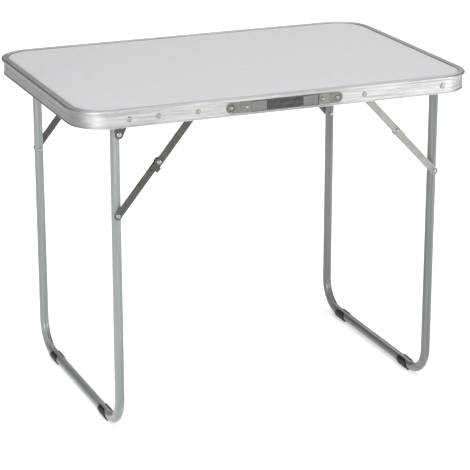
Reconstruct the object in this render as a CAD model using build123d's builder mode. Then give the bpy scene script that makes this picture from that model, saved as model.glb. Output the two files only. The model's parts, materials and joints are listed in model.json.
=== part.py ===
from build123d import *
from math import hypot
import os

# Folding camp table: an edged laminate top on two U-shaped leg frames that fold flat under it.
# Millimetres, +Z up. The origin is on the floor, below the centre of the top.
# X runs along the long edge, and the carrying handle is on the front edge, towards -Y.

# overall
top_length = 900.0
top_width = 600.0
table_height = 710.0
corner_radius = 80.0

# edge profile, an aluminium extrusion bent round the board and butted at the front
lip_width = 16.0
lip_height = 8.0
nose_width = 7.0
lip_rounding = 3.4
flange_thickness = 2.0
flange_rounding = 0.9
lip_overhang = 5.0
wall_thickness = 1.6
apron_depth = 37.5
ledge_width = 13.0
ledge_thickness = 1.4
bead_radius = 1.4
bead_flare = 1.2
groove_width = 1.2
groove_depth = 0.4
groove_drops = (18.5, 27.0, 33.0)
seam_gap = 0.3

# board
laminate_thickness = 1.0
laminate_rise = 0.2
core_thickness = 3.0
board_edge_clearance = 0.2

# clearances
shaft_clearance = 0.05
running_gap = 0.2
tube_fit = 0.1

# rivets and sleeves
rivet_radius = 2.5
rivet_head_radius = 5.2
rivet_head_height = 2.0
rivet_dome_out = 0.72
rivet_dome_up = 0.62
handle_rivet_head_radius = 4.4
pivot_radius = 3.0
pivot_head_radius = 5.6
sleeve_radius = 5.5
washer_radius = 6.5
fastener_drop = 20.0

# leg frames
tube_radius = 10.0
tube_wall = 1.5
bend_radius = 65.0
tube_end_above_pivot = 8.0

# feet, open saddles clipped on the bottom bar
foot_wall = 2.0
foot_length = 50.0
foot_bend_gap = 2.0
foot_sole_width = 15.0
foot_mouth_width = 13.0

# braces, two flat links on each leg
link_width = 16.0
link_thickness = 2.0
link_end_radius = 8.4
knee_end_radius = 9.6
tail_length = 20.0
tail_lug_length = 12.0
left_lug_width = 3.5
right_lug_width = 1.5

# left leg bracket
bracket_thickness = 2.0
bracket_height = 18.0
bracket_end = 9.0
ear_radius = 9.0
ear_root_width = 29.0

# handle
handle_lip_gap = 0.3
strap_thickness = 1.6
strap_edge_height = 0.7
strap_edge_width = 2.0
strap_half_length = 101.0
strap_slot_length = 9.0
plate_thickness = 1.0
plate_inner_end = 76.0
inner_rivet_x = 86.0
outer_rivet_x = 119.0
grip_half_length = 41.0
grip_base = 0.6
grip_rib_height = 0.9
grip_rib_width = 1.6
grip_rib_pitch = 3.4
grip_edge_gap = 0.3

# edge joiner, behind the seam
joiner_half_length = 100.0
joiner_height = 20.0
joiner_thickness = 1.5

# where each leg and its brace stand: the leg from the start of the corner bend and from the
# apron wall, the brace anchor from the end of the handle, and how far the folded brace pivot
# passes the anchor
left_leg_from_bend = 9.0
left_leg_setback = 29.4
left_pivot_drop = 51.0
left_anchor_from_handle = 61.3
left_past_anchor = 6.0
right_leg_from_bend = 4.0
right_leg_setback = 35.4
right_anchor_from_handle = 51.3
right_past_anchor = 11.0

# bracket rivets: the first from the leg, the second from half way to the anchor
bracket_rivet_reach = 21.0
bracket_rivet_setback = 0.5

# worked out: heights
board_top_z = table_height - flange_thickness
core_top_z = board_top_z - laminate_thickness
core_bottom_z = core_top_z - core_thickness
fastener_z = table_height - fastener_drop
bar_z = tube_radius + foot_wall

# worked out: distances from the long centre plane
wall_outer_y = top_width / 2 - lip_overhang
wall_inner_y = wall_outer_y - wall_thickness
bracket_inner_y = wall_inner_y - bracket_thickness
plate_back_y = wall_outer_y + strap_thickness
plate_face_y = plate_back_y + plate_thickness

# worked out: the handle, centred on the fasteners and just below the lip
handle_height = 2 * (fastener_drop - lip_height - handle_lip_gap)
plate_end_radius = handle_height / 2
handle_half_length = outer_rivet_x + plate_end_radius

# the links lie side by side with room for a rivet head on each side of the lower one
link_standoff = rivet_head_height + 3 * running_gap
link_gap = 2 * rivet_head_height + 4 * running_gap

os.makedirs("parts", exist_ok=True)


class LegSide:
    """Where one leg frame turns, and where its brace starts, bends and ends."""

    def __init__(
        self, name, outwards, from_bend, setback, pivot_z, from_handle, past_anchor, lug_width
    ):
        self.name = name
        self.outwards = outwards
        self.leg_x = outwards * (top_length / 2 - corner_radius - from_bend)
        self.leg_y = wall_inner_y - setback
        self.pivot_z = pivot_z
        self.anchor_x = outwards * (handle_half_length + from_handle)
        reach = abs(self.leg_x - self.anchor_x)
        self.reach = reach
        self.brace_z = pivot_z - reach - past_anchor
        self.lug_width = lug_width
        # open, the two links are in line; folded, the knee lies level with the anchor
        span_x = outwards * reach
        span_z = self.brace_z - fastener_z
        span = hypot(span_x, span_z)
        drop = fastener_z - pivot_z
        self.lower_length = ((span + past_anchor) ** 2 + drop**2) / (2 * (span + past_anchor))
        self.upper_length = span - self.lower_length
        self.knee_x = self.anchor_x + span_x * self.upper_length / span
        self.knee_z = fastener_z + span_z * self.upper_length / span
        # layers outwards from the tube
        self.tube_y = self.leg_y + tube_radius
        self.lower_y = self.tube_y + link_standoff
        self.upper_y = self.lower_y + link_thickness + link_gap


left = LegSide(
    "left", -1, left_leg_from_bend, left_leg_setback, table_height - left_pivot_drop,
    left_anchor_from_handle, left_past_anchor, left_lug_width,
)
right = LegSide(
    "right", 1, right_leg_from_bend, right_leg_setback, fastener_z,
    right_anchor_from_handle, right_past_anchor, right_lug_width,
)
bracket_rivet_xs = [
    left.leg_x + bracket_rivet_reach, left.leg_x + left.reach / 2 - bracket_rivet_setback
]
sides = (left, right)
ends = (("front", -1), ("rear", 1))


def upright(y):
    """A plane square to Y, on which a sketch's coordinates are X and Z. Its normal points to -Y."""
    return Plane(origin=(0, y, 0), x_dir=(1, 0, 0), z_dir=(0, -1, 0))


def rivet(x, z, inner_y, outer_y, facing_sign, radius, head_radius, heads=("inner", "outer")):
    """A domed rivet along Y, from inner_y to outer_y, with a head beyond each named end."""
    plane = Plane(origin=(x, 0, z), x_dir=(1, 0, 0), z_dir=(0, 0, facing_sign))
    with BuildPart() as piece:
        with BuildSketch(plane):
            with Locations((0, inner_y)):
                Rectangle(radius, outer_y - inner_y, align=(Align.MIN, Align.MIN))
            for end, base, rise in (
                ("inner", inner_y, -rivet_head_height), ("outer", outer_y, rivet_head_height)
            ):
                if end in heads:
                    with BuildLine():
                        crown = (0, base + rise)
                        rim = (head_radius, base)
                        dome = (rivet_dome_out * head_radius, base + rivet_dome_up * rise)
                        ThreePointArc(crown, dome, rim)
                        Polyline(rim, (0, base), crown)
                    make_face()
        revolve(axis=Axis((x, 0, z), (0, 1, 0)))
    return piece.part


def sleeve(x, z, inner_y, outer_y, facing_sign, bore_radius, outer_radius):
    """A plain tube or washer along Y, between two distances from the middle of the table."""
    with BuildPart() as piece:
        with BuildSketch(upright(facing_sign * inner_y)):
            with Locations((x, z)):
                Circle(outer_radius)
                Circle(bore_radius, mode=Mode.SUBTRACT)
        extrude(amount=-facing_sign * (outer_y - inner_y))
    return piece.part


def holes_along_y(points, inner_y, outer_y, facing_sign, radius):
    """Cuts round holes along Y through the part being built."""
    with BuildSketch(upright(facing_sign * inner_y)) as holes:
        with Locations(points):
            Circle(radius)
    extrude(holes.sketch, amount=-facing_sign * (outer_y - inner_y), mode=Mode.SUBTRACT)


# ---- tabletop: laminate on a core board
slot_inset = nose_width + board_edge_clearance
board_length = top_length - 2 * slot_inset
board_width = top_width - 2 * slot_inset
board_radius = corner_radius - slot_inset
field_inset = lip_width + board_edge_clearance

with BuildPart() as board_core:
    with BuildSketch(Plane.XY.offset(core_bottom_z)):
        RectangleRounded(board_length, board_width, board_radius)
    extrude(amount=core_thickness)
board_core.part.label = "board_core"
export_step(board_core.part, "parts/board_core.step")

with BuildPart() as top_laminate:
    with BuildSketch(Plane.XY.offset(core_top_z)):
        RectangleRounded(board_length, board_width, board_radius)
    extrude(amount=laminate_thickness - laminate_rise)
    # pressed down under the flange, and a little higher in the open field inside it
    with BuildSketch(Plane.XY.offset(board_top_z - laminate_rise)):
        RectangleRounded(
            top_length - 2 * field_inset, top_width - 2 * field_inset, corner_radius - field_inset
        )
    extrude(amount=laminate_rise)
top_laminate.part.label = "top_laminate"
export_step(top_laminate.part, "parts/top_laminate.step")

# ---- edge profile: its section swept round the outline, from the seam and back to it
half_length = top_length / 2
half_width = top_width / 2
seam_start = (seam_gap / 2, -half_width, table_height)
ledge_drop = flange_thickness + laminate_thickness + core_thickness

with BuildPart() as edge_profile:
    with BuildLine(Plane.XY.offset(table_height)) as outline:
        FilletPolyline(
            (seam_gap / 2, -half_width),
            (half_length, -half_width),
            (half_length, half_width),
            (-half_length, half_width),
            (-half_length, -half_width),
            (-seam_gap / 2, -half_width),
            radius=corner_radius,
        )
    with BuildSketch(Plane(origin=seam_start, x_dir=(0, 1, 0), z_dir=(1, 0, 0))) as edge_section:
        with Locations((0, -lip_height)):
            Rectangle(nose_width, lip_height, align=(Align.MIN, Align.MIN))
        fillet(edge_section.vertices().group_by(Axis.X)[0], lip_rounding)
        with Locations((lip_rounding, -flange_thickness)):
            Rectangle(lip_width - lip_rounding, flange_thickness, align=(Align.MIN, Align.MIN))
        fillet(edge_section.vertices().group_by(Axis.X)[-1], flange_rounding)
        with Locations((lip_overhang, -apron_depth)):
            Rectangle(wall_thickness, apron_depth - lip_height / 2, align=(Align.MIN, Align.MIN))
        with Locations((lip_overhang, -ledge_drop)):
            Rectangle(ledge_width, ledge_thickness, align=(Align.MIN, Align.MAX))
        with Locations((lip_overhang - bead_flare + bead_radius, -apron_depth + bead_radius)):
            Circle(bead_radius)
        with Locations([(lip_overhang, -drop) for drop in groove_drops]):
            Rectangle(groove_depth, groove_width, align=(Align.MIN, Align.CENTER), mode=Mode.SUBTRACT)
    sweep(path=outline.wires()[0])
    shared_points = [(x, fastener_z) for x in bracket_rivet_xs]
    shared_points += [(left.anchor_x, fastener_z), (right.anchor_x, fastener_z)]
    handle_points = [(s * x, fastener_z) for s in (-1, 1) for x in (inner_rivet_x, outer_rivet_x)]
    bore = rivet_radius + shaft_clearance
    pivot_bore = pivot_radius + shaft_clearance
    for end, sign in ends:
        points = shared_points + (handle_points if end == "front" else [])
        holes_along_y(points, wall_inner_y, wall_outer_y, sign, bore)
        holes_along_y([(right.leg_x, right.pivot_z)], wall_inner_y, wall_outer_y, sign, pivot_bore)
edge_profile.part.label = "edge_profile"
export_step(edge_profile.part, "parts/edge_profile.step")

with BuildPart() as edge_joiner:
    with BuildSketch(upright(joiner_thickness - wall_inner_y)):
        with Locations((0, fastener_z)):
            Rectangle(2 * joiner_half_length, joiner_height)
    extrude(amount=joiner_thickness)
    joined = [(s * inner_rivet_x, fastener_z) for s in (-1, 1)]
    holes_along_y(joined, wall_inner_y - joiner_thickness, wall_inner_y, -1, bore)
edge_joiner.part.label = "edge_joiner"
export_step(edge_joiner.part, "parts/edge_joiner.step")

# ---- carrying handle: a strap that slides in two riveted end plates, with a ribbed grip
with BuildPart() as handle_strap:
    with BuildSketch(upright(-wall_outer_y)):
        with Locations((0, fastener_z)):
            RectangleRounded(2 * strap_half_length, handle_height, strap_edge_width)
        with Locations((-inner_rivet_x, fastener_z), (inner_rivet_x, fastener_z)):
            SlotCenterToCenter(strap_slot_length, 2 * bore, mode=Mode.SUBTRACT)
    extrude(amount=strap_thickness)
    with BuildSketch(upright(-plate_back_y)):
        edge_offset = (handle_height - strap_edge_width) / 2
        with Locations((0, fastener_z - edge_offset), (0, fastener_z + edge_offset)):
            Rectangle(2 * (plate_inner_end - running_gap), strap_edge_width)
    extrude(amount=strap_edge_height)
handle_strap.part.label = "handle_strap"
export_step(handle_strap.part, "parts/handle_strap.step")

grip_height = handle_height - 2 * (strap_edge_width + grip_edge_gap)
rib_count = int(2 * grip_half_length / grip_rib_pitch)
with BuildPart() as handle_grip:
    with BuildSketch(upright(-plate_back_y)):
        with Locations((0, fastener_z)):
            RectangleRounded(2 * grip_half_length, grip_height, grip_rib_width)
    extrude(amount=grip_base)
    with BuildSketch(upright(-plate_back_y - grip_base)):
        with Locations((0, fastener_z)):
            with GridLocations(grip_rib_pitch, 0, rib_count, 1):
                SlotOverall(grip_height - grip_rib_width, grip_rib_width, rotation=90)
    extrude(amount=grip_rib_height)
handle_grip.part.label = "handle_grip"
export_step(handle_grip.part, "parts/handle_grip.step")

plate_step_x = strap_half_length + plate_thickness
for label, side_sign in (("handle_plate_left", -1), ("handle_plate_right", 1)):
    # folded over the strap at its inner end, flat on the wall at its outer end
    plan = Plane(
        origin=(0, 0, fastener_z - handle_height / 2), x_dir=(side_sign, 0, 0), z_dir=(0, 0, side_sign)
    )
    with BuildPart() as handle_plate:
        with BuildSketch(plan):
            with BuildLine():
                Polyline(
                    (plate_inner_end, -plate_back_y),
                    (plate_inner_end, -plate_face_y),
                    (plate_step_x, -plate_face_y),
                    (plate_step_x + strap_thickness, -wall_outer_y - plate_thickness),
                    (outer_rivet_x + plate_end_radius, -wall_outer_y - plate_thickness),
                    (outer_rivet_x + plate_end_radius, -wall_outer_y),
                    (plate_step_x + strap_thickness - plate_thickness / 2, -wall_outer_y),
                    (plate_step_x - plate_thickness / 2, -plate_back_y),
                    (plate_inner_end, -plate_back_y),
                )
            make_face()
        extrude(amount=side_sign * handle_height)
        with BuildSketch(upright(-wall_outer_y)):
            with Locations((side_sign * (plate_inner_end + outer_rivet_x) / 2, fastener_z)):
                Rectangle(outer_rivet_x - plate_inner_end, handle_height)
            with Locations((side_sign * outer_rivet_x, fastener_z)):
                Circle(plate_end_radius)
        extrude(amount=plate_face_y - wall_outer_y, mode=Mode.INTERSECT)
        fixings = [(side_sign * x, fastener_z) for x in (inner_rivet_x, outer_rivet_x)]
        holes_along_y(fixings, wall_outer_y, plate_face_y, -1, bore)
    handle_plate.part.label = label
    export_step(handle_plate.part, f"parts/{label}.step")

with BuildPart() as handle_rivets:
    for x, z in handle_points:
        inner = abs(x) == inner_rivet_x
        tail_y = wall_inner_y - (joiner_thickness if inner else 0)
        face_y = plate_face_y if inner else wall_outer_y + plate_thickness
        add(rivet(x, z, tail_y, face_y, -1, rivet_radius, handle_rivet_head_radius))
handle_rivets.part.label = "handle_rivets"
export_step(handle_rivets.part, "parts/handle_rivets.step")

# ---- left leg brackets: plates riveted inside the apron, each with an ear hanging below it
for end, sign in ends:
    bracket_start = left.leg_x - ear_radius
    bracket_stop = bracket_rivet_xs[1] + bracket_end
    with BuildPart() as left_bracket:
        with BuildSketch(upright(sign * bracket_inner_y)):
            with Locations(((bracket_start + bracket_stop) / 2, fastener_z)):
                Rectangle(bracket_stop - bracket_start, bracket_height)
        extrude(amount=-sign * bracket_thickness)
        with BuildSketch(upright(sign * bracket_inner_y)):
            with Locations((left.leg_x, left.pivot_z)):
                Circle(ear_radius)
            with Locations((bracket_start + ear_root_width / 2, fastener_z)):
                Rectangle(ear_root_width, bracket_height)
            make_hull()
        extrude(amount=-sign * bracket_thickness)
        fixings = [(x, fastener_z) for x in bracket_rivet_xs]
        holes_along_y(fixings, bracket_inner_y, wall_inner_y, sign, bore)
        holes_along_y([(left.leg_x, left.pivot_z)], bracket_inner_y, wall_inner_y, sign, pivot_bore)
    left_bracket.part.label = f"left_bracket_{end}"
    export_step(left_bracket.part, f"parts/left_bracket_{end}.step")

with BuildPart() as left_bracket_rivets:
    for end, sign in ends:
        for x in bracket_rivet_xs:
            add(rivet(x, fastener_z, bracket_inner_y, wall_outer_y, sign, rivet_radius, rivet_head_radius))
left_bracket_rivets.part.label = "left_bracket_rivets"
export_step(left_bracket_rivets.part, "parts/left_bracket_rivets.step")

# ---- leg pivots: through the bracket ear on the left, through the apron wall on the right
pivot_seats = ((left, bracket_inner_y, wall_inner_y), (right, wall_inner_y, wall_outer_y))
for side, seat_y, outer_y in pivot_seats:
    tube_back_y = side.leg_y - tube_radius - running_gap
    with BuildPart() as pivot_rivets:
        for end, sign in ends:
            add(rivet(side.leg_x, side.pivot_z, tube_back_y, outer_y, sign, pivot_radius, pivot_head_radius))
    pivot_rivets.part.label = f"{side.name}_pivot_rivets"
    export_step(pivot_rivets.part, f"parts/{side.name}_pivot_rivets.step")

    with BuildPart() as pivot_sleeves:
        for end, sign in ends:
            add(sleeve(
                side.leg_x, side.pivot_z, side.tube_y + running_gap, seat_y - shaft_clearance, sign,
                pivot_bore, sleeve_radius,
            ))
    pivot_sleeves.part.label = f"{side.name}_pivot_sleeves"
    export_step(pivot_sleeves.part, f"parts/{side.name}_pivot_sleeves.step")

# ---- leg frames: one bent tube each, with a foot at each end of its bottom bar
for side in sides:
    top_z = side.pivot_z + tube_end_above_pivot
    with BuildPart() as leg_frame:
        with BuildLine(Plane(origin=(side.leg_x, 0, 0), x_dir=(0, 1, 0), z_dir=(1, 0, 0))) as route:
            FilletPolyline(
                (-side.leg_y, top_z),
                (-side.leg_y, bar_z),
                (side.leg_y, bar_z),
                (side.leg_y, top_z),
                radius=bend_radius,
            )
        with BuildSketch(Plane.XY.offset(top_z)):
            with Locations((side.leg_x, -side.leg_y)):
                Circle(tube_radius)
                Circle(tube_radius - tube_wall, mode=Mode.SUBTRACT)
        sweep(path=route.wires()[0])
        for end, sign in ends:
            back_y = side.leg_y - tube_radius
            holes_along_y([(side.leg_x, side.pivot_z)], back_y, side.tube_y, sign, pivot_bore)
            holes_along_y([(side.leg_x, side.brace_z)], back_y, side.tube_y, sign, bore)
    leg_frame.part.label = f"{side.name}_leg_frame"
    export_step(leg_frame.part, f"parts/{side.name}_leg_frame.step")

    foot_outer_y = side.leg_y - bend_radius - foot_bend_gap
    for end, sign in ends:
        with BuildPart() as foot:
            with BuildSketch(upright(sign * (foot_outer_y - foot_length))):
                with Locations((side.leg_x, bar_z)):
                    Circle(tube_radius + foot_wall)
                with Locations((side.leg_x, 0)):
                    Rectangle(foot_sole_width, bar_z, align=(Align.CENTER, Align.MIN))
                with Locations((side.leg_x, bar_z)):
                    Circle(tube_radius + tube_fit, mode=Mode.SUBTRACT)
                    mouth = (Align.CENTER, Align.MIN)
                    Rectangle(foot_mouth_width, 2 * bar_z, align=mouth, mode=Mode.SUBTRACT)
            extrude(amount=-sign * foot_length)
        foot.part.label = f"{side.name}_foot_{end}"
        export_step(foot.part, f"parts/{side.name}_foot_{end}.step")

# ---- braces: on each leg a lower link from the tube and an upper link from the apron
for side in sides:
    lower_outer_y = side.lower_y + link_thickness
    upper_outer_y = side.upper_y + link_thickness

    with BuildPart() as brace_rivets:
        for end, sign in ends:
            back_y = side.leg_y - tube_radius
            face_y = lower_outer_y + running_gap
            add(rivet(side.leg_x, side.brace_z, back_y, face_y, sign, rivet_radius, rivet_head_radius))
    brace_rivets.part.label = f"{side.name}_brace_rivets"
    export_step(brace_rivets.part, f"parts/{side.name}_brace_rivets.step")

    with BuildPart() as brace_washers:
        for end, sign in ends:
            gap_y = side.lower_y - running_gap
            add(sleeve(side.leg_x, side.brace_z, side.tube_y, gap_y, sign, bore, washer_radius))
    brace_washers.part.label = f"{side.name}_brace_washers"
    export_step(brace_washers.part, f"parts/{side.name}_brace_washers.step")

    with BuildPart() as anchor_rivets:
        for end, sign in ends:
            tail_y = side.upper_y - running_gap
            add(rivet(side.anchor_x, fastener_z, tail_y, wall_outer_y, sign, rivet_radius, rivet_head_radius))
    anchor_rivets.part.label = f"{side.name}_anchor_rivets"
    export_step(anchor_rivets.part, f"parts/{side.name}_anchor_rivets.step")

    with BuildPart() as anchor_sleeves:
        for end, sign in ends:
            gap_y = upper_outer_y + running_gap
            add(sleeve(side.anchor_x, fastener_z, gap_y, wall_inner_y, sign, bore, sleeve_radius))
    anchor_sleeves.part.label = f"{side.name}_anchor_sleeves"
    export_step(anchor_sleeves.part, f"parts/{side.name}_anchor_sleeves.step")

    for end, sign in ends:
        node = f"{side.name}_{end}"
        along = (side.knee_x - side.leg_x, 0, side.knee_z - side.brace_z)
        lower_plane = Plane(
            origin=(side.leg_x, sign * side.lower_y, side.brace_z), x_dir=along, z_dir=(0, -1, 0)
        )
        with BuildPart() as lower_link:
            with BuildSketch(lower_plane):
                with Locations((side.lower_length / 2, 0)):
                    Rectangle(side.lower_length, link_width)
                Circle(link_end_radius)
                with Locations((side.lower_length, 0)):
                    Circle(knee_end_radius)
                with Locations((0, 0), (side.lower_length, 0)):
                    Circle(bore, mode=Mode.SUBTRACT)
            extrude(amount=-sign * link_thickness)
        lower_link.part.label = f"{node}_lower_link"
        export_step(lower_link.part, f"parts/{node}_lower_link.step")

        down = (side.knee_x - side.anchor_x, 0, side.knee_z - fastener_z)
        upper_plane = Plane(
            origin=(side.anchor_x, sign * side.upper_y, fastener_z), x_dir=down, z_dir=(0, -1, 0)
        )
        reach = side.upper_length + tail_length
        with BuildPart() as upper_link:
            with BuildSketch(upper_plane):
                Circle(link_end_radius)
                with Locations((reach / 2, 0)):
                    Rectangle(reach, link_width)
                # the stop lug is on the underside of the tail, away from the leg
                with Locations((reach - tail_lug_length / 2, -side.outwards * link_width / 2)):
                    Rectangle(tail_lug_length, 2 * side.lug_width)
                with Locations((0, 0), (side.upper_length, 0)):
                    Circle(bore, mode=Mode.SUBTRACT)
            extrude(amount=-sign * link_thickness)
        upper_link.part.label = f"{node}_upper_link"
        export_step(upper_link.part, f"parts/{node}_upper_link.step")

        # the knee rivet in two halves, one on each link, with the running gap between their ends
        outer_half = rivet(
            side.knee_x, side.knee_z, lower_outer_y + running_gap, upper_outer_y, sign,
            rivet_radius, rivet_head_radius, heads=("outer",),
        )
        outer_half.label = f"{node}_knee_rivet_head"
        export_step(outer_half, f"parts/{node}_knee_rivet_head.step")

        inner_half = rivet(
            side.knee_x, side.knee_z, side.lower_y, lower_outer_y, sign,
            rivet_radius, rivet_head_radius, heads=("inner",),
        )
        inner_half.label = f"{node}_knee_rivet_tail"
        export_step(inner_half, f"parts/{node}_knee_rivet_tail.step")

        knee_washer = sleeve(
            side.knee_x, side.knee_z, lower_outer_y + running_gap, side.upper_y, sign,
            bore, washer_radius,
        )
        knee_washer.label = f"{node}_knee_washer"
        export_step(knee_washer, f"parts/{node}_knee_washer.step")

for side in sides:
    print(
        f"{side.name}: brace pivot z {side.brace_z:.2f}, knee {side.knee_x:.2f} {side.knee_z:.2f}, "
        f"links {side.lower_length:.2f} {side.upper_length:.2f}, "
        f"layers {side.lower_y:.2f} {side.upper_y:.2f}"
    )
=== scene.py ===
import json
import math
import bmesh
import bpy
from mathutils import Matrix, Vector


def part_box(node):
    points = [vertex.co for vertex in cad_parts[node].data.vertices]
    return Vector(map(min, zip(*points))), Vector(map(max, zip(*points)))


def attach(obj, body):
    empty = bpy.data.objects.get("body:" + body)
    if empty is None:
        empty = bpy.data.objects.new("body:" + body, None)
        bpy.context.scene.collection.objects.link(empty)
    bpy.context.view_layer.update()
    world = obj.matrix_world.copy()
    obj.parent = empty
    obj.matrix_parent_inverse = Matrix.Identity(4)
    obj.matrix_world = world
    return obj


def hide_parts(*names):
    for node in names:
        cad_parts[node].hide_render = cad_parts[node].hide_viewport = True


# Folding camp table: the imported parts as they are, dressed with finishes,
# and with finer rivets, feet and grip in place of the plain ones.

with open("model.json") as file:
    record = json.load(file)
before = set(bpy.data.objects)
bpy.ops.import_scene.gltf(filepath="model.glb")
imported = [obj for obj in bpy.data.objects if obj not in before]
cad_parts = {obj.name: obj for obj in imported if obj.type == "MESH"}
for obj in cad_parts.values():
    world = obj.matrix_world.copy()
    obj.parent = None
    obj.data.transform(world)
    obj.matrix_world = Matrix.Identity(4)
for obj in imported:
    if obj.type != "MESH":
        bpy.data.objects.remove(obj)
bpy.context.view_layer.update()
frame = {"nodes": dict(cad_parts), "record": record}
nodes = frame["nodes"]

ends = (("front", -1), ("rear", 1))
sides = ("left", "right")


class Wire:
    # one value in a material; arithmetic on it adds Math nodes
    def __init__(self, paint, socket):
        self.paint = paint
        self.socket = socket

    def maths(self, operation, first, second=0.0):
        return self.paint.node(
            "ShaderNodeMath", {"operation": operation}, {0: first, 1: second}
        )

    def __add__(self, other):
        return self.maths("ADD", self, other)

    def __radd__(self, other):
        return self.maths("ADD", other, self)

    def __sub__(self, other):
        return self.maths("SUBTRACT", self, other)

    def __rsub__(self, other):
        return self.maths("SUBTRACT", other, self)

    def __mul__(self, other):
        return self.maths("MULTIPLY", self, other)

    def __rmul__(self, other):
        return self.maths("MULTIPLY", other, self)

    def __truediv__(self, other):
        return self.maths("DIVIDE", self, other)

    def __rtruediv__(self, other):
        return self.maths("DIVIDE", other, self)

    def __pow__(self, other):
        return self.maths("POWER", self, other)

    def __abs__(self):
        return self.maths("ABSOLUTE", self)

    def atLeast(self, other):
        return self.maths("MAXIMUM", self, other)

    def atMost(self, other):
        return self.maths("MINIMUM", self, other)

    def sine(self):
        return self.maths("SINE", self)


class Paint:
    # one material, and the one method that adds its nodes
    def __init__(self, name, target=None):
        owner = target or bpy.data.materials.new(name)
        owner.use_nodes = True
        self.material = owner
        self.tree = owner.node_tree
        self.tree.nodes.clear()

    def node(self, kind, settings=None, inputs=None, output=0):
        made = self.tree.nodes.new(kind)
        for key, value in (settings or {}).items():
            setattr(made, key, value)
        for key, value in (inputs or {}).items():
            socket = made.inputs[key]
            if isinstance(value, Wire):
                self.tree.links.new(value.socket, socket)
            else:
                socket.default_value = value
        return Wire(self, made.outputs[output]) if made.outputs else made

    def place(self):
        # the point on the object, in metres, which moves with its part
        return self.node("ShaderNodeTexCoord", output="Object")

    def axes(self, vector):
        split = self.node("ShaderNodeSeparateXYZ", inputs={0: vector})
        outputs = split.socket.node.outputs
        return [Wire(self, outputs[i]) for i in range(3)]

    def scaled(self, vector, factors):
        return self.node(
            "ShaderNodeVectorMath", {"operation": "MULTIPLY"}, {0: vector, 1: factors}
        )

    def grain(self, vector, scale, detail=2.0, roughness=0.5):
        # noise from 0 to 1, with its middle at 0.5
        return self.node(
            "ShaderNodeTexNoise",
            inputs={
                "Vector": vector, "Scale": scale, "Detail": detail, "Roughness": roughness,
            },
        )

    def fade(self, value, low, high, fromLow=0.0, fromHigh=1.0):
        # a value moved smoothly from one range to another
        return self.node(
            "ShaderNodeMapRange",
            {"interpolation_type": "SMOOTHSTEP"},
            {0: value, 1: low, 2: high, 3: fromLow, 4: fromHigh},
        )

    def blend(self, factor, first, second, kind="MIX"):
        return self.node(
            "ShaderNodeMix",
            {"data_type": "RGBA", "blend_type": kind},
            {0: factor, 6: first, 7: second},
            output=2,
        )

    def wear(self, distance):
        # 1 on sharp edges and 0 on flats
        bevelled = self.node(
            "ShaderNodeBevel", {"samples": 4}, {"Radius": distance}
        )
        flat = self.node("ShaderNodeNewGeometry", output="Normal")
        turned = self.node(
            "ShaderNodeVectorMath", {"operation": "DOT_PRODUCT"},
            {0: bevelled, 1: flat}, output="Value",
        )
        return self.fade(1 - turned, 0.004, 0.12)

    def bump(self, height, strength, distance):
        return self.node(
            "ShaderNodeBump",
            inputs={"Height": height, "Strength": strength, "Distance": distance},
        )

    def finish(self, **sockets):
        surface = self.node(
            "ShaderNodeBsdfPrincipled",
            inputs={name.replace("_", " "): value for name, value in sockets.items()},
        )
        self.node("ShaderNodeOutputMaterial", inputs={"Surface": surface})
        return self.material


def grey(level, warmth=0.0):
    # a near-neutral colour, warmer above 0 and cooler below
    return (level * (1 + warmth), level, level * (1 - warmth), 1.0)


# laminate: pale lilac white melamine with a fine orange peel and faint scuffs
laminate = {
    "colour": (0.530, 0.525, 0.553, 1.0),
    "shade": (0.516, 0.512, 0.539, 1.0),
    "speck": (0.450, 0.447, 0.470, 1.0),
    "mottleScale": 55.0,
    "peelScale": 900.0,
    "speckScale": 420.0,
    "roughness": 0.34,
    "speckShare": 0.35,
    "scuffScale": (3.0, 40.0, 40.0),
    "peelStrength": 0.12,
    "index": 1.5,
}


def paintLaminate():
    p = Paint("laminate")
    spot = p.place()
    mottle = p.grain(spot, laminate["mottleScale"], 3.0)
    base = p.blend(p.fade(mottle, 0.35, 0.65), laminate["colour"], laminate["shade"])
    specks = p.node(
        "ShaderNodeTexVoronoi", inputs={"Vector": spot, "Scale": laminate["speckScale"]}
    )
    dots = p.fade(specks, 0.16, 0.08)
    colour = p.blend(dots * laminate["speckShare"], base, laminate["speck"])
    scuffs = p.grain(p.scaled(spot, laminate["scuffScale"]), 6.0, 4.0, 0.7)
    rough = laminate["roughness"] + p.fade(scuffs, 0.60, 0.72) * 0.10 + mottle * 0.04
    peel = p.grain(spot, laminate["peelScale"], 1.0)
    return p.finish(
        Base_Color=colour, Roughness=rough, IOR=laminate["index"],
        Normal=p.bump(peel, laminate["peelStrength"], 0.0004),
    )


# hardboard: the raw underside, brown fibres with a pressed screen pattern
hardboard = {
    "colour": (0.230, 0.142, 0.080, 1.0),
    "light": (0.330, 0.215, 0.130, 1.0),
    "dark": (0.125, 0.072, 0.040, 1.0),
    "fibreScale": 260.0,
    "screenPitch": 0.0026,
    "cloudScale": 14.0,
    "roughness": 0.78,
}


def paintHardboard():
    p = Paint("hardboard")
    spot = p.place()
    x, y = p.axes(spot)[:2]
    clouds = p.grain(spot, hardboard["cloudScale"], 3.0)
    fibres = p.grain(p.scaled(spot, (1.0, 0.35, 1.0)), hardboard["fibreScale"], 4.0, 0.7)
    base = p.blend(p.fade(clouds, 0.3, 0.7), hardboard["colour"], hardboard["light"])
    colour = p.blend(p.fade(fibres, 0.52, 0.75), base, hardboard["dark"])
    turns = 2 * math.pi / hardboard["screenPitch"]
    screen = (x * turns).sine() * (y * turns).sine()
    return p.finish(
        Base_Color=colour, Roughness=hardboard["roughness"] + fibres * 0.15,
        Normal=p.bump(screen * 0.6 + fibres * 0.5, 0.5, 0.0006),
    )


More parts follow.
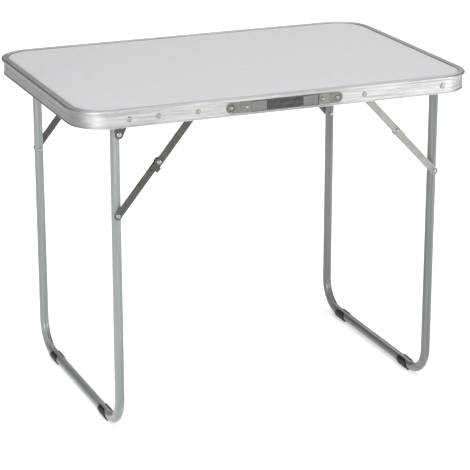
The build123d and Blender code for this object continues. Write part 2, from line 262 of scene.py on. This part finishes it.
# aluminium edge: brushed along its length all the way round the corners
edging = {
    "colour": (0.455, 0.460, 0.455, 1.0),
    "dull": (0.330, 0.335, 0.332, 1.0),
    "smear": (0.740, 0.740, 0.722, 1.0),
    "metallic": 0.88,
    "endShade": (0.215, 0.223, 0.230, 1.0),  # painted shade along the two ends, which face away from the light; the metal is the same all round
    "lineScale": 1500.0,
    "alongScale": 45.0,
    "roughness": 0.36,
    "cornerRadius": 0.080,  # of the top's outline
    "blotchScale": 60.0,
    "smearShare": 0.55,
    "bumpStrength": 0.26,
}


def paintEdging():
    p = Paint("edge_aluminium")
    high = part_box("edge_profile")[1]
    radius = edging["cornerRadius"]
    spot = p.place()
    x, y, z = p.axes(spot)
    pastX = abs(x) - (high.x - radius)
    pastY = abs(y) - (high.y - radius)
    outX, outY = pastX.atLeast(0.0), pastY.atLeast(0.0)
    inset = (outX * outX + outY * outY) ** 0.5 + pastX.atLeast(pastY).atMost(0.0)
    lines = p.node(
        "ShaderNodeCombineXYZ",
        inputs={
            0: x * edging["alongScale"] + inset * edging["lineScale"],
            1: y * edging["alongScale"],
            2: z * edging["lineScale"],
        },
    )
    brushing = p.grain(lines, 1.0, 3.0, 0.65)
    broad = p.grain(p.scaled(lines, (0.16, 0.6, 0.16)), 1.0, 2.0)
    blotches = p.grain(spot, edging["blotchScale"], 3.0)
    base = p.blend(p.fade(broad, 0.36, 0.66), edging["colour"], edging["dull"])
    colour = p.blend(p.fade(brushing, 0.50, 0.72) * edging["smearShare"], base, edging["smear"])
    turned = outX / (outX * outX + outY * outY + 1e-9) ** 0.5
    # painted shade: the ends facing along X are darkened, broken up a little by the brushing
    endShadeMask = p.fade(turned, 0.50, 0.96)
    colour = p.blend(endShadeMask * (1.05 - 0.45 * brushing), colour, edging["endShade"])
    rough = edging["roughness"] + p.fade(brushing, 0.3, 0.7) * 0.14 + blotches * 0.06
    return p.finish(
        Base_Color=colour, Metallic=edging["metallic"], Roughness=rough,
        Normal=p.bump(brushing * 0.7 + broad * 0.5, edging["bumpStrength"], 0.0004),
    )


# zinc plated steel: the braces, brackets, washers, sleeves and handle plates
zincLook = {
    # left brace: the same steel as the right, its darker colours are painted shade
    "left_brace_steel": {
        "colour": (0.056, 0.057, 0.049, 1.0), "patch": (0.044, 0.040, 0.031, 1.0),
        "bright": grey(0.185, 0.02), "roughness": 0.44, "metallic": 0.60,
    },
    # right brace: the same steel as the left, its paler colours are painted light
    "right_brace_steel": {
        "colour": (0.225, 0.234, 0.210, 1.0), "patch": (0.165, 0.165, 0.140, 1.0),
        "bright": grey(0.470, 0.01), "roughness": 0.46, "metallic": 0.60,
    },
    "bracket_steel": {
        "colour": grey(0.052, 0.02), "patch": (0.042, 0.038, 0.030, 1.0),
        "bright": grey(0.190, 0.02), "roughness": 0.44, "metallic": 0.60,
    },
    "washer_steel": {
        "colour": grey(0.360, 0.01), "patch": (0.280, 0.260, 0.220, 1.0),
        "bright": grey(0.560, 0.01), "roughness": 0.38, "metallic": 0.85,
    },
    "handle_plate_steel": {
        "colour": (0.128, 0.127, 0.104, 1.0), "patch": (0.082, 0.080, 0.064, 1.0),
        "bright": grey(0.360, 0.02), "roughness": 0.42, "metallic": 0.55,
    },
}

zincGrain = {
    "cloudScale": 46.0, "crystalScale": 420.0, "rollingScale": 900.0, "pitScale": 330.0,
    "crystalShare": 0.30, "pitShare": 0.45, "wearShare": 0.45, "wearReach": 0.0007,
}

handleSlot = {
    "inset": 0.0085, "length": 0.0035, "radius": 0.0060, "line": 0.0011,
    "dark": grey(0.020, 0.02),
}


def paintZinc(name):
    look = zincLook[name]
    p = Paint(name)
    spot = p.place()
    clouds = p.grain(spot, zincGrain["cloudScale"], 3.0, 0.6)
    spangle = p.node(
        "ShaderNodeTexVoronoi",
        inputs={"Vector": spot, "Scale": zincGrain["crystalScale"]}, output="Color",
    )
    crystals = p.axes(spangle)[0]
    rolling = p.grain(spot, zincGrain["rollingScale"], 3.0, 0.7)
    base = p.blend(p.fade(clouds, 0.46, 0.70), look["colour"], look["patch"])
    base = p.blend(crystals * zincGrain["crystalShare"], base, look["bright"])
    pits = p.grain(spot, zincGrain["pitScale"], 3.0, 0.8)
    base = p.blend(p.fade(pits, 0.50, 0.66) * zincGrain["pitShare"], base, look["patch"])
    colour = p.blend(
        p.wear(zincGrain["wearReach"]) * zincGrain["wearShare"], base, look["bright"]
    )
    if name == "handle_plate_steel":
        # the dark line of the oval slot that the outer left rivet slides in
        x, z = p.axes(spot)[::2]
        low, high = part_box("handle_plate_left")
        midZ = (low.z + high.z) / 2
        fromSlot = (
            (x - low.x - handleSlot["inset"] - handleSlot["length"]).atLeast(0.0)
            + (low.x + handleSlot["inset"] - x).atLeast(0.0)
        )
        fromLine = ((fromSlot * fromSlot + (z - midZ) * (z - midZ)) ** 0.5
                    - handleSlot["radius"])
        line = p.fade(abs(fromLine), handleSlot["line"], handleSlot["line"] * 0.3)
        colour = p.blend(line * 0.9, colour, handleSlot["dark"])
    rough = look["roughness"] + crystals * 0.10 + clouds * 0.10 - 0.05
    return p.finish(
        Base_Color=colour, Metallic=look["metallic"], Roughness=rough,
        Normal=p.bump(rolling * 0.6 + crystals * 0.3, 0.18, 0.0003),
    )


# powder coated tube; the right leg's darker colours are painted shade on the same coat
legLook = {
    "left_leg_steel": {
        "colour": (0.226, 0.247, 0.239, 1.0), "shade": (0.160, 0.181, 0.174, 1.0),
    },
    # painted shade: the same coat as the left leg, made darker
    "right_leg_steel": {
        "colour": (0.150, 0.164, 0.158, 1.0), "shade": (0.100, 0.112, 0.107, 1.0),
    },
}

legCoat = {
    "streakUp": (150.0, 150.0, 3.0), "streakAcross": (150.0, 3.0, 150.0),
    "barTop": (0.022, 0.045),  # heights where the bar's marks give way to the posts'
    "peelScale": 700.0, "chipScale": 95.0, "chipColour": grey(0.110, 0.04),
    "roughness": 0.36, "metallic": 0.35, "coat": 0.5, "coatRoughness": 0.13,
}


def paintLeg(name):
    look = legLook[name]
    p = Paint(name)
    spot = p.place()
    # drawing marks run up the posts and along the bottom bar
    height = p.axes(spot)[2]
    up = p.grain(p.scaled(spot, legCoat["streakUp"]), 1.0, 3.0, 0.6)
    across = p.grain(p.scaled(spot, legCoat["streakAcross"]), 1.0, 3.0, 0.6)
    streaks = across + (up - across) * p.fade(height, *legCoat["barTop"])
    peel = p.grain(spot, legCoat["peelScale"], 2.0)
    chips = p.grain(spot, legCoat["chipScale"], 5.0, 0.75)
    base = p.blend(p.fade(streaks, 0.35, 0.70), look["colour"], look["shade"])
    colour = p.blend(p.fade(chips, 0.70, 0.76) * 0.6, base, legCoat["chipColour"])
    rough = legCoat["roughness"] + peel * 0.10 + p.fade(chips, 0.66, 0.76) * 0.25
    return p.finish(
        Base_Color=colour, Metallic=legCoat["metallic"], Roughness=rough,
        Coat_Weight=legCoat["coat"], Coat_Roughness=legCoat["coatRoughness"],
        Normal=p.bump(peel + streaks * 0.4, 0.16, 0.0005),
    )


# black moulded feet
footLook = {
    "colour": grey(0.006), "dusty": grey(0.028, 0.03), "roughness": 0.42, "shine": 0.32,
    "fineScale": 1600.0, "smudgeScale": 130.0,
}


def paintFoot():
    p = Paint("foot_plastic")
    spot = p.place()
    height = p.axes(spot)[2]
    fine = p.grain(spot, footLook["fineScale"], 2.0)
    smudge = p.grain(spot, footLook["smudgeScale"], 4.0, 0.65)
    onSole = p.fade(height + smudge * 0.004, 0.006, 0.001) * 0.5
    dust = (onSole + p.fade(smudge, 0.55, 0.80) * 0.35).atMost(1.0)
    colour = p.blend(dust, footLook["colour"], footLook["dusty"])
    return p.finish(
        Base_Color=colour, Roughness=footLook["roughness"] + smudge * 0.2,
        Specular_IOR_Level=footLook["shine"],
        Normal=p.bump(fine, 0.25, 0.0003),
    )


# handle: a grey moulded strap and a darker ribbed grip
handleLook = {
    "strap": grey(0.098, 0.01), "strapPale": grey(0.165, 0.01), "strapDark": grey(0.018),
    "edgeShade": 0.0022,  # width of the darkening along the strap's edges and of the painted shade at the plates
    "drawnScale": (30.0, 500.0, 700.0), "leatherScale": 900.0, "strapRoughness": 0.48,
    "grip": grey(0.018, 0.02), "gripPale": grey(0.085, 0.02),
    "gripFine": 1800.0, "gripScuff": 170.0, "gripRoughness": 0.55,
}


def paintStrap():
    p = Paint("strap_plastic")
    spot = p.place()
    drawn = p.grain(p.scaled(spot, handleLook["drawnScale"]), 1.0, 3.0, 0.6)
    leather = p.node(
        "ShaderNodeTexVoronoi", {"feature": "DISTANCE_TO_EDGE"},
        {"Vector": spot, "Scale": handleLook["leatherScale"]},
    )
    colour = p.blend(p.fade(drawn, 0.35, 0.7), handleLook["strap"], handleLook["strapPale"])
    # darker along the strap's top and bottom edges, and painted shade where it goes into the
    # plates
    x, z = p.axes(spot)[::2]
    low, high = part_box("handle_strap")
    left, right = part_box("handle_plate_left")[1].x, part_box("handle_plate_right")[0].x
    rim = handleLook["edgeShade"]
    fromEdge = (z - low.z).atMost(high.z - z).atMost(x - left).atMost(right - x)
    colour = p.blend(p.fade(fromEdge, rim, rim * 0.2), colour, handleLook["strapDark"])
    return p.finish(
        Base_Color=colour, Roughness=handleLook["strapRoughness"] + drawn * 0.15,
        Normal=p.bump(p.fade(leather, 0.0, 0.25) + drawn * 0.4, 0.25, 0.0003),
    )


def paintGrip():
    p = Paint("grip_rubber")
    spot = p.place()
    depth = p.axes(spot)[1]
    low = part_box("handle_grip")[0]
    crest = p.fade(depth, low.y + 0.0007, low.y + 0.0001)
    fine = p.grain(spot, handleLook["gripFine"], 3.0)
    scuff = p.grain(spot, handleLook["gripScuff"], 4.0, 0.7)
    colour = p.blend(
        crest * p.fade(scuff, 0.3, 0.65), handleLook["grip"], handleLook["gripPale"]
    )
    return p.finish(
        Base_Color=colour, Roughness=handleLook["gripRoughness"] + scuff * 0.2,
        Normal=p.bump(fine, 0.3, 0.0003),
    )


# bright rivets, with painted shade on their slopes and in their hollows, and a little grime
rivetLook = {
    "colour": grey(0.330, 0.01), "dark": grey(0.022, 0.03), "roughness": 0.20,
    "metallic": 0.95, "turnedScale": 1500.0, "grimeScale": 260.0,
}


def paintRivet():
    p = Paint("rivet_steel")
    spot = p.place()
    turned = p.grain(spot, rivetLook["turnedScale"], 3.0, 0.7)
    grime = p.grain(spot, rivetLook["grimeScale"], 3.0, 0.6)
    hollow = p.node("ShaderNodeNewGeometry", output="Pointiness")
    slope = p.axes(p.node("ShaderNodeNewGeometry", output="Normal"))
    # painted shade: darker in the hollows and on the sloping flange; only the grime noise is dirt
    shade = p.fade(hollow, 0.50, 0.44)
    rim = p.fade(abs(slope[1]), 0.95, 0.62)
    colour = p.blend(
        (shade * 0.8 + rim * 0.9 + p.fade(grime, 0.55, 0.80) * 0.3).atMost(1.0),
        rivetLook["colour"], rivetLook["dark"],
    )
    return p.finish(
        Base_Color=colour, Metallic=rivetLook["metallic"],
        Roughness=rivetLook["roughness"] + turned * 0.16,
        Normal=p.bump(turned, 0.12, 0.0003),
    )


paints = {
    "laminate": paintLaminate(),
    "hardboard": paintHardboard(),
    "edge_aluminium": paintEdging(),
    "foot_plastic": paintFoot(),
    "strap_plastic": paintStrap(),
    "grip_rubber": paintGrip(),
    "rivet_steel": paintRivet(),
}
paints.update({name: paintZinc(name) for name in zincLook})
paints.update({name: paintLeg(name) for name in legLook})
slotOf = {part["node"]: part["material_slot"] for part in frame["record"]["subparts"]}
bodyOf = {
    name: body
    for body, members in frame["record"]["behaviour"]["bodies"].items()
    for name in members
}
for name, part in nodes.items():
    for i in range(len(part.data.materials)):
        part.data.materials[i] = paints[slotOf[name]]
print("finishes:", len(paints), "materials on", len(nodes), "nodes")


def addPiece(name, form, slotName, body, replaced, crease=40.0):
    # turns a bmesh in the table's own frame into a piece that rides on a body
    bmesh.ops.recalc_face_normals(form, faces=form.faces)
    shape = bpy.data.meshes.new(name)
    form.to_mesh(shape)
    form.free()
    shape.shade_smooth()
    shape.set_sharp_from_angle(angle=math.radians(crease))
    shape.materials.append(paints[slotName])
    piece = bpy.data.objects.new(name, shape)
    bpy.context.scene.collection.objects.link(piece)
    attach(piece, body)
    if replaced:
        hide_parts(*replaced)
    return piece


def lathe(form, profile, seat, out, segments):
    # a closed profile of (radius, height) pairs, turned about a line along Y;
    # a pair at radius 0 is a single point
    rings = []
    for radius, height in profile:
        if radius == 0:
            rings.append([form.verts.new(seat + Vector((0, out * height, 0)))])
            continue
        rings.append([
            form.verts.new(seat + Vector((
                radius * math.cos(2 * math.pi * k / segments),
                out * height,
                radius * math.sin(2 * math.pi * k / segments),
            )))
            for k in range(segments)
        ])
    for first, second in zip(rings, rings[1:]):
        for k in range(segments):
            n = (k + 1) % segments
            corners = [first[k % len(first)], first[n % len(first)],
                       second[n % len(second)], second[k % len(second)]]
            form.faces.new(list(dict.fromkeys(corners)))


def solids(name):
    # the boxes of a node's separate solids
    form = bmesh.new()
    form.from_mesh(nodes[name].data)
    bmesh.ops.remove_doubles(form, verts=form.verts, dist=1e-6)
    waiting = set(form.verts)
    found = []
    while waiting:
        stack = [waiting.pop()]
        low, high = stack[0].co.copy(), stack[0].co.copy()
        while stack:
            v = stack.pop()
            low = Vector(map(min, low, v.co))
            high = Vector(map(max, high, v.co))
            for e in v.link_edges:
                other = e.other_vert(v)
                if other in waiting:
                    waiting.discard(other)
                    stack.append(other)
        found.append((low, high))
    form.free()
    return sorted(found, key=lambda box: (round(box[0].y, 4), round(box[0].x, 4)))


# rivets: a thin flange, a dome and the broken stem in its hole; a pressed dome behind
rivet = {
    "headHeight": 0.0020,
    "shankShare": 0.48,  # of the head's radius
    "segments": 36,
}


def outerHead(radius, height):
    # from the shank out to the middle of the face
    return [
        (radius * 0.96, 0.0), (radius, height * 0.06), (radius, height * 0.16),
        (radius * 0.955, height * 0.27), (radius * 0.86, height * 0.50),
        (radius * 0.70, height * 0.78), (radius * 0.52, height * 0.95),
        (radius * 0.36, height), (radius * 0.275, height * 0.98),
        (radius * 0.24, height * 0.90), (radius * 0.225, height * 0.66),
        (radius * 0.175, height * 0.66), (radius * 0.165, height * 0.86),
        (radius * 0.10, height * 0.93), (0, height * 0.91),
    ]


def innerHead(radius, height):
    return [
        (radius * 0.97, 0.0), (radius, height * 0.10), (radius * 0.975, height * 0.30),
        (radius * 0.88, height * 0.58), (radius * 0.70, height * 0.83),
        (radius * 0.45, height * 0.97), (radius * 0.20, height), (0, height * 0.99),
    ]


def addRivets(name, heads=("inner", "outer")):
    form = bmesh.new()
    for low, high in solids(name):
        out = 1 if low.y + high.y > 0 else -1
        radius = (high.x - low.x) / 2
        shank = radius * rivet["shankShare"]
        length = high.y - low.y
        seat = Vector(((low.x + high.x) / 2, low.y if out > 0 else high.y, (low.z + high.z) / 2))
        tall = rivet["headHeight"]
        inside = tall if "inner" in heads else 0.0
        outside = length - (tall if "outer" in heads else 0.0)
        line = [(shank, inside), (shank, outside)]
        if "inner" in heads:
            line = [(r, inside - h) for r, h in reversed(innerHead(radius, tall))] + line
        else:
            line = [(0, inside)] + line
        if "outer" in heads:
            line = line + [(r, outside + h) for r, h in outerHead(radius, tall)]
        else:
            line = line + [(0, outside)]
        lathe(form, line, seat, out, rivet["segments"])
    addPiece(name + "_fine", form, "rivet_steel", bodyOf[name], [name])


for name in sorted(nodes):
    if name.endswith("_rivets"):
        addRivets(name)
    elif name.endswith("knee_rivet_head"):
        addRivets(name, ("outer",))
    elif name.endswith("knee_rivet_tail"):
        addRivets(name, ("inner",))
print("rivets made")


# feet: an open saddle whose sides sweep down towards the bend, with a grooved sole
foot = {
    "wall": 0.0019,
    "halfSole": 0.0075,
    "crease": 35.0,
    "bandReach": 0.0012,  # how far the rounding runs in from each end
    "bandDepth": 0.0006,
    "lipDepth": 0.0007,
    "mouthHalf": 0.0065,
    "sideCut": 0.017,  # how much shorter the rim is than the sole, at the bend
    "backRound": 0.005,  # the same at the other end
    "grooves": 3,
    "grooveDepth": 0.0007,
    "around": 44,
    "along": 30,
}


def footOuter(angle, radius):
    # distance of the outer skin from the bar's middle, at an angle from straight down
    side = abs(math.sin(angle))
    if abs(angle) > math.pi / 2:
        return radius
    flat = radius / max(math.cos(angle), 1e-6)
    if flat * side <= foot["halfSole"]:
        return flat
    return max(radius, min(flat, foot["halfSole"] / max(side, 1e-6)))


def addFoot(name, bendSign):
    low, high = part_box(name)
    middleX = (low.x + high.x) / 2
    radius = (high.x - low.x) / 2
    barZ = low.z + radius
    bendY = high.y if bendSign > 0 else low.y
    backY = low.y if bendSign > 0 else high.y
    widest = math.pi - math.asin(foot["mouthHalf"] / radius)
    around, along = foot["around"], foot["along"]
    form = bmesh.new()
    skins = []
    for inner in (False, True):
        rows = []
        for i in range(around + 1):
            share = 2 * i / around - 1
            angle = share * widest
            rise = abs(share)
            nearEnd = bendY - bendSign * foot["sideCut"] * rise ** 3.0
            farEnd = backY + bendSign * foot["backRound"] * rise ** 4.0
            row = []
            for j in range(along + 1):
                y = farEnd + (nearEnd - farEnd) * j / along
                reach = radius - foot["wall"] if inner else footOuter(angle, radius)
                if not inner:
                    # rounded ends and rims, and thin grooves across the sole
                    fromEnd = min(abs(y - nearEnd), abs(y - farEnd))
                    rounding = max(0.0, 1 - fromEnd / foot["bandReach"])
                    reach -= foot["bandDepth"] * rounding * rounding
                    wave = (j / along * (foot["grooves"] + 1)) % 1.0
                    inGroove = abs(wave - 0.5) < 0.12 and rise < 0.24
                    reach -= foot["grooveDepth"] if inGroove else 0.0
                    reach -= foot["lipDepth"] * max(0.0, (rise - 0.93) / 0.07) ** 2
                row.append(form.verts.new((
                    middleX + reach * math.sin(angle), y, barZ - reach * math.cos(angle),
                )))
            rows.append(row)
        skins.append(rows)
    outer, inner = skins
    for rows in skins:
        for i in range(around):
            for j in range(along):
                form.faces.new((rows[i][j], rows[i][j + 1], rows[i + 1][j + 1], rows[i + 1][j]))
    for j in range(along):
        for i in (0, around):
            form.faces.new((outer[i][j], outer[i][j + 1], inner[i][j + 1], inner[i][j]))
    for i in range(around):
        for j in (0, along):
            form.faces.new((outer[i][j], outer[i + 1][j], inner[i + 1][j], inner[i][j]))
    addPiece(
        name + "_saddle", form, "foot_plastic", bodyOf[name], [name], foot["crease"],
    )


for side in sides:
    for end, sign in ends:
        addFoot(f"{side}_foot_{end}", sign)
print("feet made")


# grip: a pad with close rounded ribs, crossed by two shallow channels
grip = {
    "ribPitch": 0.0034,
    "ribHeight": 0.0009,
    "edgeRound": 0.0010,
    "alongSteps": 8,  # per rib
    "acrossSteps": 26,
    "channels": (-0.0045, 0.0045),
    "channelHalf": 0.0008,
    "crease": 50.0,
}


def addGrip():
    low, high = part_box("handle_grip")
    middle = (low + high) / 2
    halfX, halfZ = (high.x - low.x) / 2, (high.z - low.z) / 2
    ribs = int(2 * halfX / grip["ribPitch"])
    nx, nz = ribs * grip["alongSteps"], grip["acrossSteps"]
    form = bmesh.new()

    def height(x, z):
        rim = min(1.0, (halfX - abs(x)) / grip["edgeRound"], (halfZ - abs(z)) / grip["edgeRound"])
        base = (high.y - low.y) - grip["ribHeight"]
        phase = (x / grip["ribPitch"] + (0.5 if ribs % 2 == 0 else 0.0)) % 1.0
        rib = max(0.0, math.cos((phase - 0.5) * 2 * math.pi) * 0.62 + 0.38) ** 0.7
        inside = abs(x) < ribs * grip["ribPitch"] / 2 - 0.0006
        gap = min(abs(z - c) for c in grip["channels"])
        cut = 0.35 if gap < grip["channelHalf"] else 1.0
        ends = min(1.0, max(0.0, (halfZ - 0.0008 - abs(z)) / 0.0012))
        lift = grip["ribHeight"] * min(1.0, rib) * cut * ends if inside else 0.0
        return (base + lift) * (0.35 + 0.65 * math.sqrt(max(0.0, rim)))

    top, bottom = [], []
    for i in range(nx + 1):
        x = -halfX + 2 * halfX * i / nx
        top.append([])
        bottom.append([])
        for j in range(nz + 1):
            z = -halfZ + 2 * halfZ * j / nz
            at = Vector((middle.x + x, high.y, middle.z + z))
            top[i].append(form.verts.new(at - Vector((0, height(x, z), 0))))
            bottom[i].append(form.verts.new(at))
    for rows in (top, bottom):
        for i in range(nx):
            for j in range(nz):
                form.faces.new((rows[i][j], rows[i + 1][j], rows[i + 1][j + 1], rows[i][j + 1]))
    for i in range(nx):
        for j in (0, nz):
            form.faces.new((top[i][j], top[i + 1][j], bottom[i + 1][j], bottom[i][j]))
    for j in range(nz):
        for i in (0, nx):
            form.faces.new((top[i][j], top[i][j + 1], bottom[i][j + 1], bottom[i][j]))
    addPiece(
        "handle_grip_ribbed", form, "grip_rubber", bodyOf["handle_grip"],
        ["handle_grip"], grip["crease"],
    )


addGrip()
print("grip made")


# pressed and cut strip: soft edges on the braces, brackets, plates and strap
softEdges = {
    "link": 0.0007, "bracket": 0.0005, "handle_plate": 0.0003,
    "handle_strap": 0.0003, "edge_joiner": 0.0003,
}
softAngle = 50.0  # only corners sharper than this are rounded


def soften(part):
    # the part's own mesh with its flats merged, ready for a bevel
    form = bmesh.new()
    form.from_mesh(part.data)
    bmesh.ops.remove_doubles(form, verts=form.verts, dist=1e-6)
    bmesh.ops.dissolve_limit(
        form, angle_limit=math.radians(0.5), verts=form.verts, edges=form.edges,
        delimit={"NORMAL"},
    )
    return form


for name in sorted(nodes):
    for key, width in softEdges.items():
        if (name.endswith(key) or name.startswith(key) or "_" + key + "_" in name) \
                and "rivet" not in name:
            form = soften(nodes[name])
            piece = addPiece(name + "_soft", form, slotOf[name], bodyOf[name], [name], 30.0)
            rounding = piece.modifiers.new("rounding", "BEVEL")
            rounding.width = width
            rounding.segments = 3
            rounding.limit_method = "ANGLE"
            rounding.angle_limit = math.radians(softAngle)
            rounding.harden_normals = True
print("strip edges softened")


# floor, lights and camera
studio = {
    "floorColour": (0.93, 0.93, 0.93, 1.0),
    "floorHalf": 30.0,
    "floorGlow": 0.30,
    "floorTint": grey(0.85),
    "brightSide": (-0.68, -0.70, 0.22),
    "worldBright": 0.72,
    "worldDim": 0.07,
    # name: place, aim, width, power, colour
    "lights": {
        "key": ((-3.2, -3.6, 1.7), (-0.2, 0.0, 0.45), 1.2, 130.0, (1.0, 0.99, 0.98)),
        "front": ((2.9, -3.0, 1.1), (0.36, -0.2, 0.66), 1.4, 72.0, (1.0, 1.0, 0.99)),
        "top": ((-0.2, -0.6, 5.8), (0.0, 0.0, 0.6), 7.0, 230.0, (1.0, 1.0, 1.0)),
        "back": ((2.3, 4.4, 3.4), (2.3, 4.5, 0.0), 3.6, 120.0, (1.0, 1.0, 1.0)),
    },
}

# the camera looks at the table from the left of its front, a little above
viewpoint = {
    "target": (0.0119, 0.0, 0.3108),
    "azimuth": -22.69,
    "elevation": 18.42,
    "distance": 4.410,
    "lens": 150.0,
}


def addFloor():
    form = bmesh.new()
    reach = studio["floorHalf"]
    corners = [(-reach, -reach), (reach, -reach), (reach, reach), (-reach, reach)]
    form.faces.new([form.verts.new((x, y, 0.0)) for x, y in corners])
    shape = bpy.data.meshes.new("floor")
    form.to_mesh(shape)
    form.free()
    p = Paint("floor_paint")
    speckle = p.grain(p.place(), 3.0, 2.0)
    shape.materials.append(p.finish(
        Base_Color=p.blend(speckle * 0.05, studio["floorColour"], studio["floorTint"]),
        Roughness=0.9, Emission_Color=(1.0, 1.0, 1.0, 1.0),
        Emission_Strength=studio["floorGlow"],
    ))
    floor = bpy.data.objects.new("floor", shape)
    bpy.context.scene.collection.objects.link(floor)


def addLight(name, place, aim, width, power, colour):
    lamp = bpy.data.lights.new(name, "AREA")
    lamp.shape = "SQUARE"
    lamp.size = width
    lamp.energy = power
    lamp.color = colour
    holder = bpy.data.objects.new(name, lamp)
    holder.location = place
    holder.rotation_euler = (Vector(aim) - Vector(place)).to_track_quat("-Z", "Y").to_euler()
    holder.visible_camera = False
    bpy.context.scene.collection.objects.link(holder)


def addWorld():
    world = bpy.data.worlds.new("studio")
    bpy.context.scene.world = world
    p = Paint("studio", world)
    direction = p.node("ShaderNodeTexCoord", output="Generated")
    facing = p.node(
        "ShaderNodeVectorMath", {"operation": "DOT_PRODUCT"},
        {0: direction, 1: studio["brightSide"]}, output="Value",
    )
    glow = p.node(
        "ShaderNodeBackground",
        inputs={
            "Color": p.blend(
                p.fade(facing, -0.6, 0.7), grey(studio["worldDim"]), grey(studio["worldBright"])
            ),
            "Strength": 1.0,
        },
    )
    p.node("ShaderNodeOutputWorld", inputs={"Surface": glow})


def addCamera():
    azimuth = math.radians(viewpoint["azimuth"])
    elevation = math.radians(viewpoint["elevation"])
    back = Vector((
        math.sin(azimuth) * math.cos(elevation),
        -math.cos(azimuth) * math.cos(elevation),
        math.sin(elevation),
    ))
    lens = bpy.data.cameras.new("camera")
    lens.sensor_width = 36.0
    lens.lens = viewpoint["lens"]
    lens.clip_start, lens.clip_end = 0.1, 200.0
    camera = bpy.data.objects.new("camera", lens)
    camera.location = Vector(viewpoint["target"]) + back * viewpoint["distance"]
    camera.rotation_euler = (-back).to_track_quat("-Z", "Y").to_euler()
    bpy.context.scene.collection.objects.link(camera)
    bpy.context.scene.camera = camera


addFloor()
for name, settings in studio["lights"].items():
    addLight(name, *settings)
addWorld()
addCamera()
bpy.context.scene.view_settings.view_transform = "Standard"
print("studio ready")
